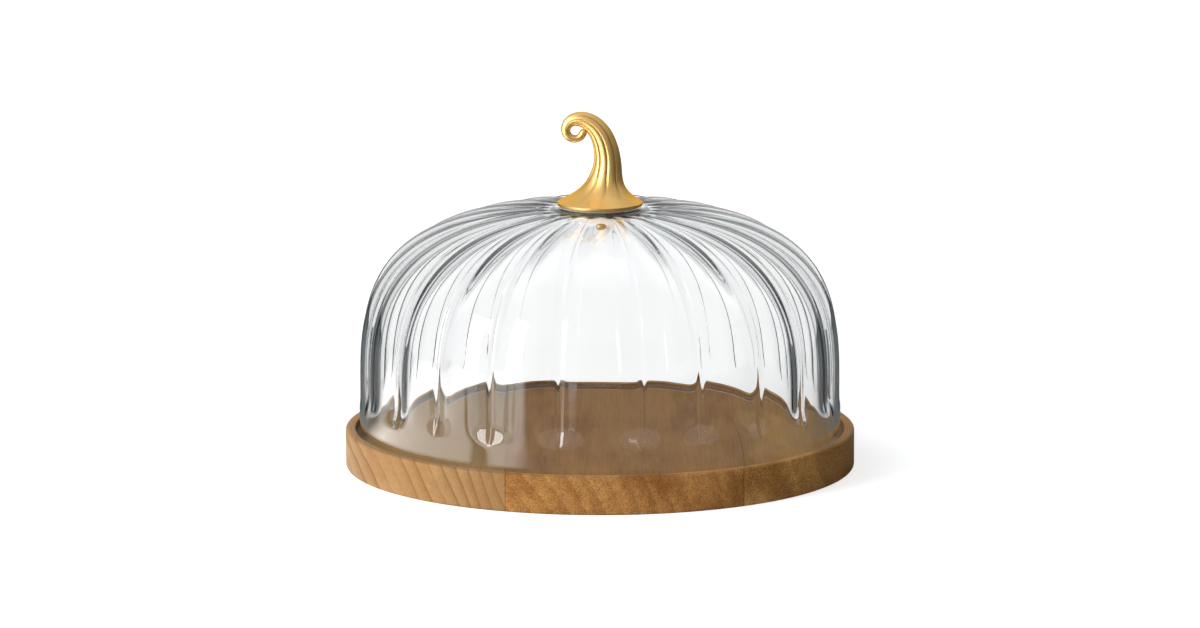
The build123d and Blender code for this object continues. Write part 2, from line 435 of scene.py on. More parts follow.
@dataclass(frozen=True)
class StaveWood:
    """Oiled hardwood: growth rings round a pith line that runs front to back, with open pores.

    The rings are a solid pattern, so the staves' ends show them as arcs and the top as long lines.

    Attributes:
        name: Name of the material.
        pith: X and Z of the tree's pith, in metres.
        ring_spacing: Distance from one ring to the next.
        light: Colour of the spring wood.
        dark: Colour of the summer wood.
        ring_strength: How far the rings darken the wood, from 0 to 1.
        mottle: Strength of the grainy figure, from 0 to 1.
        shift: Where in the noise this stave lies, so that no two staves match.
        heartwood: X and half width of a dark streak along the stave, or none.
        tone_and_painted_shade: X where the stave starts to darken, X where it is darkest, and by how much:
            painted shade on the right stave, a darker tone on the left.
    """

    name: str
    pith: tuple[float, float]
    ring_spacing: float
    light: Colour
    dark: Colour
    ring_strength: float
    mottle: float
    shift: float
    heartwood: Optional[tuple[float, float]] = None
    tone_and_painted_shade: Optional[tuple[float, float, float]] = None

    def summer_wood(self, bench: Bench) -> Signal:
        """Summer wood of the growth rings.

        The wavering distance from the pith is counted in rings. Each ring ends in a crisp line
        in plain wood, and in a broader soft band where the wood is mottled.

        Args:
            bench: The material's bench.

        Returns:
            How much summer wood there is, from 0 to 1.
        """
        x, y, z = bench.place()
        along = bench.vector(x + self.shift, y * 0.12, z)
        waver = bench.noise(along, 9.0, 2.0) - 0.5
        ripple = bench.noise(along, 60.0, 2.0) - 0.5
        from_pith = ((x - self.pith[0]) ** 2.0 + (z - self.pith[1]) ** 2.0).root()
        rings = (from_pith + waver * 0.022 + ripple * 0.0022) / self.ring_spacing
        climb = rings.cycle()
        crisp = (0.3 * climb.ramp(0.25, 0.9) + 0.7 * climb.ramp(0.74, 0.93)) * climb.ramp(1.0, 0.955)
        broad = climb.ramp(0.1, 0.75) * climb.ramp(1.0, 0.75)
        late = crisp * (1.0 - 0.6 * self.mottle) + broad * (0.6 * self.mottle)
        uneven = bench.noise(bench.vector(rings * 0.37, self.shift, 0.0), 1.0, 1.0)
        return late * uneven.ramp(0.2, 0.65)

    def figured(self, bench: Bench, late: Signal, edge: Signal) -> bpy.types.NodeSocket:
        """Rings, cloudy figure, heartwood, and a darker tone and painted shade across the stave, from the
        light wood up.

        Args:
            bench: The material's bench.
            late: How much summer wood there is.
            edge: 1 on the board's round edge.

        Returns:
            The colour's socket.
        """
        x, y, z = bench.place()
        clouds = bench.noise(bench.vector(x + self.shift, y * 0.35, z), 34.0, 3.0)
        slanted = bench.vector(x + z + self.shift, y * 0.2, (x - z) * 0.25)
        figure = bench.noise(slanted, 150.0, 3.0)
        colour = bench.blend(late * (0.4 + 0.6 * edge) * self.ring_strength, self.light, self.dark)
        warm = toned(self.dark, 1.35, 1.12, 0.9)
        colour = bench.blend(clouds.ramp(0.42, 0.66) * (0.15 + 0.65 * self.mottle), colour, warm)
        pale = toned(self.light, 1.28, 1.28, 1.28)
        colour = bench.blend(figure.ramp(0.5, 0.8) * (0.5 * self.mottle), colour, pale)
        if self.heartwood is not None:
            middle, half_width = self.heartwood
            streak = abs(x - middle).ramp(half_width, half_width * 0.35)
            colour = bench.blend(streak * (y + 0.03).ramp(-0.03, 0.05) * 0.75, colour, self.dark)
        # Darkens the wood across the stave: painted shade on the right stave, a darker tone on the left.
        if self.tone_and_painted_shade is not None:
            start, darkest, amount = self.tone_and_painted_shade
            colour = bench.blend(x.ramp(start, darkest) * amount, colour, self.dark)
        return colour

    def speckled(self, bench: Bench, colour: bpy.types.NodeSocket, edge: Signal) -> bpy.types.NodeSocket:
        """Adds the fine dark and pale grain of the cut ends, on the board's edge.

        Args:
            bench: The material's bench.
            colour: The wood's colour so far.
            edge: 1 on the board's round edge.

        Returns:
            The colour's socket.
        """
        x, y, z = bench.place()
        solid = bench.vector(x + self.shift, y, z)
        grain = bench.noise(solid, 1800.0, 3.0, 0.65)
        coarse = bench.noise(solid, 360.0, 2.0)
        speckle = grain.ramp(0.47, 0.58) * 0.7 + coarse.ramp(0.4, 0.65) * 0.3
        pale = toned(self.light, 1.28, 1.28, 1.28)
        colour = bench.blend(speckle * edge * (0.1 + 0.62 * self.mottle), colour, self.dark)
        return bench.blend(grain.ramp(0.47, 0.38) * edge * (0.36 * self.mottle), colour, pale)

    def material(
        self,
        board_radius: float,
        recess_radius: float,
        joints: Sequence[float],
    ) -> bpy.types.Material:
        """Makes the material.

        Args:
            board_radius: Radius of the board, for the darker end grain on its edge.
            recess_radius: Radius of the recess, whose floor gets painted shade and an olive tone, with
                deeper painted shade in the corner of its floor.
            joints: X of this stave's glue joints, each drawn as a fine dark line.

        Returns:
            The material.
        """
        material, bench = new_material(self.name)
        x, y, z = bench.place()
        radius = (x**2.0 + y**2.0).root()
        edge = radius.ramp(board_radius - 1.6 * MM, board_radius - 0.6 * MM)
        end_grain = edge * (abs(y) / board_radius).ramp(0.1, 0.75)
        recess = radius.ramp(recess_radius + 0.4 * MM, recess_radius)
        # Where the painted shade in the corner of the recess floor falls.
        painted_corner_shade = radius.ramp(recess_radius - 3.6 * MM, recess_radius - 1.2 * MM)
        fibre = bench.noise(bench.vector(x + self.shift, y * 0.035, z), 900.0, 3.0, 0.6)
        streaky = fibre.ramp(0.3, 0.7)
        pores = bench.noise(bench.vector(x, y * 0.03 + self.shift, z), 1500.0, 1.0).ramp(0.62, 0.74)
        late = self.summer_wood(bench)

        deep = toned(self.dark, 0.45, 0.45, 0.45)
        olive_and_painted_shade = toned(self.dark, 1.2, 1.35, 0.5)
        colour = self.figured(bench, late, edge)
        colour = bench.blend(streaky * (0.04 + 0.08 * self.mottle), colour, self.dark)
        colour = self.speckled(bench, colour, edge)
        open_pores = pores * (0.25 + 0.35 * self.mottle) * (0.35 + end_grain * 0.65)
        colour = bench.blend(open_pores, colour, deep)
        # Painted shade and an olive tone on the recess floor, which lies under the cover.
        colour = bench.blend(recess * 0.58, colour, olive_and_painted_shade)
        # Painted shade in the corner of the recess floor, in the gap between the cover's rim and the lip.
        colour = bench.blend(painted_corner_shade * recess * 0.75, colour, deep)
        for joint in joints:
            line = abs(x - joint).ramp(0.34 * MM, 0.1 * MM)
            colour = bench.blend(line * 0.55, colour, deep)

        relief = 0.6 - pores * 0.5 + fibre * 0.25 + late * 0.12
        sockets = {
            "Base Color": colour,
            "Roughness": 0.46 + streaky * 0.1 + pores * 0.12,
            "Specular IOR Level": 0.04,
            "Normal": bench.bump(relief, 0.12 * MM),
        }
        bench.surface(sockets)
        return material


@dataclass(frozen=True)
class SatinBrass:
    """Cast brass, brushed to a satin shine and a little darker in its grooves.

    Attributes:
        name: Name of the material.
        colour: Colour of the bare metal.
        dark: Colour of the metal where it has darkened.
        roughness: Mean roughness.
        groove_layer: Name of the mesh attribute that is 1 in the bottom of a groove, or none.
    """

    name: str
    colour: Colour = (0.87, 0.58, 0.215)
    dark: Colour = (0.4, 0.2, 0.04)
    roughness: float = 0.42
    groove_layer: Optional[str] = None

    def material(self) -> bpy.types.Material:
        """Makes the material.

        Returns:
            The material.
        """
        material, bench = new_material(self.name)
        x, y, z = bench.place()
        clouds = bench.noise(bench.vector(x, y, z), 120.0, 3.0)
        grit = bench.noise(bench.vector(x, y, z), 2600.0, 2.0)
        colour = bench.blend(clouds.ramp(0.4, 0.8) * 0.16, self.colour, self.dark)
        if self.groove_layer is not None:
            groove = bench.signal("ShaderNodeAttribute", {"attribute_name": self.groove_layer}, {}, "Fac")
            colour = bench.blend(groove * 0.7, colour, self.dark)
        sockets = {
            "Base Color": colour,
            "Metallic": 1.0,
            "Specular Tint": (0.8, 0.52, 0.18, 1.0),
            "Roughness": self.roughness + (clouds - 0.5) * 0.06 + (grit - 0.5) * 0.04,
            "Normal": bench.bump(grit * 0.4 + clouds * 0.4, 0.00001),
        }
        bench.surface(sockets)
        return material


@dataclass(frozen=True)
class CoverGlass:
    """Clear blown glass with a faint blue-grey body colour, deep only where light travels far in it.

    Lamps shine through it to what stands under the cover.

    Attributes:
        name: Name of the material.
        index: Index of refraction.
        body: Colour of the light that is left after a long way through the glass.
        absorbed_per_metre: Density of that colour.
    """

    name: str
    index: float = 1.48
    body: Colour = (0.44, 0.55, 0.6)
    absorbed_per_metre: float = 20.0

    def material(self) -> bpy.types.Material:
        """Makes the material.

        Returns:
            The material.
        """
        material, bench = new_material(self.name)
        sockets = {
            "Base Color": (1.0, 1.0, 1.0, 1.0),
            "Roughness": 0.0,
            "IOR": self.index,
            "Transmission Weight": 1.0,
        }
        glass = bench.node("ShaderNodeBsdfPrincipled", sockets=sockets).outputs[0]
        clear = bench.node("ShaderNodeBsdfTransparent", sockets={0: (0.82, 0.83, 0.83, 1.0)}).outputs[0]
        shadow = bench.node("ShaderNodeLightPath").outputs["Is Shadow Ray"]
        surface = bench.node("ShaderNodeMixShader", sockets={0: shadow, 1: glass, 2: clear}).outputs[0]
        volume = {"Color": opaque(self.body), "Density": self.absorbed_per_metre}
        body = bench.node("ShaderNodeVolumeAbsorption", sockets=volume).outputs[0]
        bench.node("ShaderNodeOutputMaterial", sockets={"Surface": surface, "Volume": body})
        return material


@dataclass(frozen=True)
class ClearRubber:
    """Milky silicone rubber, as gaskets and bushes between metal and glass are made of.

    Attributes:
        name: Name of the material.
        colour: Colour of the rubber.
    """

    name: str
    colour: Colour = (0.5, 0.47, 0.4)

    def material(self) -> bpy.types.Material:
        """Makes the material.

        Returns:
            The material.
        """
        material, bench = new_material(self.name)
        x, y, z = bench.place()
        clouds = bench.noise(bench.vector(x, y, z), 400.0, 2.0)
        colour = bench.blend(clouds * 0.3, self.colour, toned(self.colour, 0.8, 0.8, 0.8))
        sockets = {
            "Base Color": colour,
            "Roughness": 0.5 + clouds * 0.15,
            "Subsurface Weight": 0.2,
            "Subsurface Scale": 0.002,
        }
        bench.surface(sockets)
        return material


def dress(piece: bpy.types.Object, material: bpy.types.Material) -> None:
    """Gives a piece one material."""
    piece.data.materials.clear()
    piece.data.materials.append(material)


def settle(piece: bpy.types.Object, body: str, slot: str, *nodes: str) -> None:
    """Fastens a finished piece to its body and lets it stand for its CAD nodes.

    Args:
        piece: The piece.
        body: Name of the body that it moves with.
        slot: Material slot in the record. Not used.
        nodes: CAD nodes that it replaces.
    """
    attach(piece, body)
    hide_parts(*nodes)
    log.info("%s: %d faces, rides on %s", piece.name, len(piece.data.polygons), body)


# --- Glass cover --------------------------------------------------------------------------------


@dataclass
class GlassCover:
    """Blown glass cover: plain band at the rim, puffed lobes between narrow grooves, flat crown.

    Attributes:
        radius: Outside radius over the crests.
        floor_z: Height of the rim's lower face.
        crown_z: Height of the flat crown.
        hole_radius: Radius of the hole for the stud.
        wall: Thickness of the wall.
        crown_wall: Thickness of the crown.
        wall_height: Height of the upright wall.
        band_height: Height of the plain band at the rim, above which the lobes start.
        run_out: Height over which the lobes swell out of the band.
        fullness: Power of the shoulder's superellipse.
        rim_rounding: Rounding of the rim's edges.
        flat_radius: Radius of the flat crown.
        seat_radius: Radius of the flat seat under the stem's foot.
        nose_start: Radius at which the lobes' inner ends have reached their full depth.
        nose_end: Radius at which they start to sink.
        nose_bulge: How much nearer to the axis a lobe's end sinks in its middle than at its sides.
        nose_depth: That full depth, below the seat.
        lobes: Number of lobes.
        columns_per_lobe: Points across each.
        swell: Depth of a lobe's sides below its crest, outside.
        groove: Depth of the groove between two lobes.
        groove_half_width: Half of its width.
        inner_swell: Depth of a lobe's sides on the inner face.
        valley_softness: Rounding of the valley between two lobes.
        groove_lift: Height above the band at which a groove starts to close.
        groove_end: How fast it closes below that.
        groove_inset: Distance outside nose_start at which it starts to close on the crown.
        inner_run_in: Distance from the flat crown over which the inner face starts to swell.
        unevenness: Depth of the inner face's gentle waves.
        outer_rows: Usual and fine distance between rows outside.
        inner_rows: The same inside.
        leans: How far each groove turns from its even place, in degrees, from the front round
            to the right and on to the left. The mould was cut by hand.
    """

    radius: float
    floor_z: float
    crown_z: float
    hole_radius: float
    wall: float = 3.4 * MM
    crown_wall: float = 5.0 * MM
    wall_height: float = 28.0 * MM
    band_height: float = 13.0 * MM
    run_out: float = 12.0 * MM
    fullness: float = 2.9
    rim_rounding: float = 1.2 * MM
    flat_radius: float = 26.0 * MM
    seat_radius: float = 22.0 * MM
    nose_start: float = 25.0 * MM
    nose_end: float = 38.0 * MM
    nose_bulge: float = 5.0 * MM
    nose_depth: float = 1.1 * MM
    lobes: int = 22
    columns_per_lobe: int = 24
    swell: float = 2.0 * MM
    groove: float = 0.7 * MM
    groove_half_width: float = 2.0 * MM
    inner_swell: float = 2.8 * MM
    valley_softness: float = 0.3
    groove_lift: float = 6.4 * MM
    groove_end: float = 0.3
    groove_inset: float = 8.0 * MM
    inner_run_in: float = 14.0 * MM
    unevenness: float = 0.16 * MM
    outer_rows: tuple[float, float] = (2.25 * MM, 0.95 * MM)
    inner_rows: tuple[float, float] = (3.0 * MM, 1.7 * MM)
    leans: tuple[float, ...] = (
        1.9, 0.0, 0.6, -0.1, 0.3, -0.5, 0.8, -0.4, 0.5, -0.8, 0.4,
        -0.3, 0.7, -0.6, 0.4, -0.9, 0.2, -2.1, -0.3, -1.4, -2.2, -1.3,
    )

    def face_path(self, inner: bool) -> np.ndarray:
        """Dense path up one face of the glass.

        The wall is upright, then a quarter of a superellipse, r = R cos(a)^(2/n) and
        z = rise sin(a)^(2/n), leads to the flat crown.

        Args:
            inner: True for the inner face.

        Returns:
            Radius, height and outward unit normal, one row to a point.
        """
        radius = self.radius - (self.wall if inner else 0.0)
        top = self.crown_z - (self.crown_wall if inner else 0.0)
        shoulder_z = self.floor_z + self.wall_height
        power = self.fullness
        flat_share = self.flat_radius / radius
        rise = (top - shoulder_z) / (1 - flat_share**power) ** (1 / power)
        last = math.acos(flat_share ** (power / 2))
        angle = last * np.linspace(0.0, 1.0, 900) ** 1.5
        out, up = np.cos(angle) ** (2 / power), np.sin(angle) ** (2 / power)
        slope = np.stack([out ** (power - 1) / radius, up ** (power - 1) / rise], axis=1)
        slope /= np.linalg.norm(slope, axis=1, keepdims=True)
        curve = np.column_stack([radius * out, shoulder_z + rise * up, slope])
        heights = np.linspace(self.floor_z + self.rim_rounding, shoulder_z, 200, endpoint=False)
        ones, noughts = np.ones_like(heights), np.zeros_like(heights)
        wall = np.column_stack([radius * ones, heights, ones, noughts])
        radii = np.linspace(self.flat_radius, self.hole_radius, 200)[1:]
        ones, noughts = np.ones_like(radii), np.zeros_like(radii)
        crown = np.column_stack([radii, top * ones, noughts, ones])
        return np.vstack([wall, curve, crown])

    def rows(self) -> tuple[np.ndarray, np.ndarray]:
        """The closed loop of rows round the glass's section.

        Returns:
            The rows, with radius, height and normal, and for each row 0 outside or 1 inside.
        """
        outer, inner = self.face_path(False), self.face_path(True)
        faces = []
        for path, (usual, fine) in ((outer, self.outer_rows), (inner, self.inner_rows)):
            band_top = self.floor_z + self.band_height
            radii, heights = path[:, 0], path[:, 1]
            near_band = (heights > band_top - 2 * MM) & (heights < band_top + 1.3 * self.run_out)
            near_nose = (radii > self.seat_radius) & (radii < self.nose_end)
            spacing = np.where(near_band | near_nose, fine, usual)
            spacing = np.where(radii < self.seat_radius - 2 * MM, 5 * MM, spacing)
            faces.append(spread_rows(path, spacing))
        rounding = self.rim_rounding
        low = self.floor_z + rounding
        outside = corner_arc((self.radius - rounding, low), rounding, -90.0, 0.0, 4)[:-1]
        inside = corner_arc((self.radius - self.wall + rounding, low), rounding, 180.0, 270.0, 4)[1:]
        outside, inside = (
            np.column_stack([rim, np.ones(len(rim)), np.zeros(len(rim))]) for rim in (outside, inside)
        )
        loop = np.vstack([outside, faces[0], faces[1][::-1], inside])
        side = np.repeat([0, 0, 1, 1], [len(outside), len(faces[0]), len(faces[1]), len(inside)])
        return loop, side

    def columns(self) -> tuple[np.ndarray, np.ndarray, np.ndarray]:
        """Angles round the axis, closer together near the grooves.

        Returns:
            The angle of each column, its share of the way across its lobe, and the angle from
            the nearest groove.
        """
        pitch = 2 * math.pi / self.lobes
        even = FRONT + (np.arange(self.lobes) + 0.5) * pitch
        grooves = even + np.radians(self.leans)
        nexts = np.append(grooves[1:], grooves[0] + 2 * math.pi)
        step = np.arange(self.columns_per_lobe) / self.columns_per_lobe
        share = step - 0.62 * np.sin(2 * math.pi * step) / (2 * math.pi)
        angle = grooves[:, None] + share[None, :] * (nexts - grooves)[:, None]
        off = np.minimum(angle - grooves[:, None], nexts[:, None] - angle)
        return angle.ravel(), np.tile(share, self.lobes), off.ravel()

    def surface(self) -> Surface:
        """The glass's whole skin.

        Each point is sunk along its row's normal by two amounts. With q the share of the way
        from a lobe's crest to its groove, the lobe's swelling is A q^2 r/R, and near the foot
        it passes over to the even depth of the lobe's blunt nose, by the square of the way
        into that nose. The nose's end bulges inwards by B q^2, which makes its plan a scallop.
        The groove is a round bump of the distance from the groove's line, measured past the
        line's lower end as well, so that a groove ends in a U. The inner face swells by
        A q^2 r/R alone, with a slight unevenness.

        Returns:
            The surface.
        """
        loop, side = self.rows()
        radius, height, out, up = (column[:, None] for column in loop.T)
        inner = side[:, None] == 1
        angle, share, off = self.columns()
        waves = np.sin(3 * angle + 0.7) + np.sin(7 * angle + 2.0 + 40 * height)

        band_top = self.floor_z + self.band_height
        from_band = smooth_step((height - band_top) / self.run_out)
        soft = self.valley_softness
        from_valley = 1 - np.abs(2 * share - 1)
        across = 1 - (np.hypot(from_valley, soft) - soft) / (math.hypot(1.0, soft) - soft)
        shrink = radius / self.radius
        reach = radius - self.nose_bulge * across**2
        into_nose = np.where(up > 0.02, (self.nose_end - reach) / (self.nose_end - self.nose_start), 0.0)
        into_nose = np.clip(into_nose, 0.0, 1.0) ** 2
        relief = self.swell * across**2 * shrink * (1 - into_nose) + self.nose_depth * into_nose
        from_seat = smooth_step((radius - self.seat_radius) / (self.nose_start - self.seat_radius))
        plain = smooth_step((radius - self.flat_radius) / self.inner_run_in)
        swelling = np.where(
            inner,
            self.inner_swell * across**2 * from_band * plain * shrink,
            relief * from_band * from_seat,
        )

        half = self.groove_half_width * shrink
        below = self.groove_end * np.clip(band_top + self.groove_lift - height, 0.0, None)
        short = np.clip(self.nose_start + self.groove_inset - radius, 0.0, None)
        beyond = np.where(up > 0.02, short, 0.0)
        away = np.sqrt((radius * off) ** 2 + below**2 + beyond**2)
        grooving = np.where(inner, 0.0, self.groove * shrink * round_bump(away, half))

        waviness = np.where(inner, self.unevenness * waves * from_band * plain, 0.0)
        sunk = swelling + grooving + waviness
        return Surface(round_axis(radius - sunk * out, angle, height - sunk * up), rows_close=True)

    def build(self) -> None:
        """Makes the glass and dresses it."""
        piece = self.surface().build("cover_glass")
        crease(piece, 60.0)
        dress(piece, CoverGlass("clear_blown_glass").material())
        settle(piece, "cover", "clear_glass", "glass_dome")


# --- Board --------------------------------------------------------------------------------------


class Stave(Enum):
    """The board's three staves, by where they lie."""

    LEFT = "left"
    MIDDLE = "middle"
    RIGHT = "right"


@dataclass
class ServingBoard:
    """Round board turned from three glued staves, with a shallow recess inside a narrow lip.

    Attributes:
        radius: Radius of the board.
        thickness: Height of the lip above the underside.
        recess_radius: Radius of the recess.
        floor_z: Height of the recess's floor.
        left_joint: X of the left glue joint.
        right_joint: X of the right glue joint.
        edge_easing: Rounding of the outer edges.
        lip_easing: Rounding of the lip's inner edge.
        cove: Rounding in the corner of the recess's floor.
        columns: Points round the board.
    """

    radius: float
    thickness: float
    recess_radius: float
    floor_z: float
    left_joint: float
    right_joint: float
    edge_easing: float = 1.2 * MM
    lip_easing: float = 0.6 * MM
    cove: float = 0.4 * MM
    columns: int = 288

    def profile(self) -> np.ndarray:
        """The board's section, from the recess's middle over the lip and edge to the middle below.

        Returns:
            Radius and height of each row.
        """
        top, ease, fine, cove = self.thickness, self.edge_easing, self.lip_easing, self.cove
        floor_radii = np.linspace(0.0, self.recess_radius - cove, 12)
        under_radii = np.linspace(self.radius - ease, 0.0, 10)[1:]
        return np.vstack([
            np.column_stack([floor_radii, np.full(len(floor_radii), self.floor_z)]),
            corner_arc((self.recess_radius - cove, self.floor_z + cove), cove, -90.0, 0.0, 3)[1:],
            corner_arc((self.recess_radius + fine, top - fine), fine, 180.0, 90.0, 4),
            corner_arc((self.radius - ease, top - ease), ease, 90.0, 0.0, 5),
            corner_arc((self.radius - ease, ease), ease, 0.0, -90.0, 5),
            np.column_stack([under_radii, np.zeros(len(under_radii))]),
        ])

    def cut(self, name: str, low: float, high: float) -> bpy.types.Object:
        """One stave: the turned board between two upright planes, closed at its glue faces.

        Args:
            name: Name of the piece.
            low: X of its left face, or less than the board's edge.
            high: X of its right face, or more than the board's edge.

        Returns:
            The stave.
        """
        piece = turned_surface(self.profile(), self.columns).build(name)
        shape = bmesh.new()
        shape.from_mesh(piece.data)
        for x, direction in ((low, -1.0), (high, 1.0)):
            if abs(x) >= self.radius:
                continue
            cut = bmesh.ops.bisect_plane(
                shape,
                geom=[*shape.verts, *shape.edges, *shape.faces],
                plane_co=(x, 0, 0),
                plane_no=(direction, 0, 0),
                clear_outer=True,
            )
            rim = [part for part in cut["geom_cut"] if isinstance(part, bmesh.types.BMEdge)]
            bmesh.ops.edgenet_fill(shape, edges=rim)
        bmesh.ops.recalc_face_normals(shape, faces=shape.faces)
        bmesh.ops.triangulate(shape, faces=[face for face in shape.faces if len(face.verts) > 4])
        shape.to_mesh(piece.data)
        shape.free()
        piece.data.polygons.foreach_set("use_smooth", np.ones(len(piece.data.polygons), bool))
        crease(piece, 35.0)
        return piece

    def woods(self) -> dict[Stave, StaveWood]:
        """The staves' woods: a light plain one, a red mottled one and a brown mottled one.

        Returns:
            The wood of each stave.
        """
        return {
            Stave.LEFT: StaveWood(
                name="light_stave_wood",
                pith=(-0.19, -0.045),
                ring_spacing=5.9 * MM,
                light=(0.52, 0.31, 0.14),
                dark=(0.2, 0.1, 0.034),
                ring_strength=0.92,
                mottle=0.25,
                shift=0.13,
                heartwood=(-0.0615, 0.005),
                # Darker tone towards the middle joint.
                tone_and_painted_shade=(-0.1, -0.05, 0.35),
            ),
            Stave.MIDDLE: StaveWood(
                name="red_stave_wood",
                pith=(-0.11, -0.045),
                ring_spacing=8.0 * MM,
                light=(0.52, 0.26, 0.08),
                dark=(0.16, 0.062, 0.018),
                ring_strength=0.6,
                mottle=0.85,
                shift=0.71,
            ),
            Stave.RIGHT: StaveWood(
                name="brown_stave_wood",
                pith=(0.25, 0.06),
                ring_spacing=11.0 * MM,
                light=(0.76, 0.41, 0.13),
                dark=(0.15, 0.063, 0.016),
                ring_strength=0.5,
                mottle=0.8,
                shift=1.37,
                # Painted shade: darker towards the far right edge, which is turned away from the key light.
                tone_and_painted_shade=(0.09, 0.115, 0.62),
            ),
        }

    def build(self) -> None:
        """Makes the staves and dresses each in its own wood."""
        woods = self.woods()
        joints = [-2 * self.radius, self.left_joint, self.right_joint, 2 * self.radius]
        for stave, low, high in zip(Stave, joints, joints[1:]):
            piece = self.cut(f"{stave.value}_stave", low, high)
            seams = [x for x in (low, high) if abs(x) < self.radius]
            dress(piece, woods[stave].material(self.radius, self.recess_radius, seams))
            settle(piece, "board", "wood", f"board_stave_{stave.value}")


# --- Brass stem ---------------------------------------------------------------------------------


@dataclass
class Stations:
    """Sections of a stretch of the stem, in the order in which they stand.

    Attributes:
        centres: X and Z of each section's centre.
        headings: Direction of the centreline there, in X and Z.
        widths: Diameters.
        depths: Depths of the grooves between the ridges.
    """

    centres: np.ndarray
    headings: np.ndarray
    widths: np.ndarray
    depths: np.ndarray

    @classmethod
    def joined(cls, stretches: Sequence["Stations"]) -> "Stations":
        """Sets stretches end to end.

        Args:
            stretches: The stretches, from the foot on.

        Returns:
            The whole, with headings of unit length.
        """
        names = ("centres", "headings", "widths", "depths")
        whole = cls(*(np.concatenate([getattr(part, name) for part in stretches]) for name in names))
        whole.headings /= np.linalg.norm(whole.headings, axis=1, keepdims=True)
        return whole


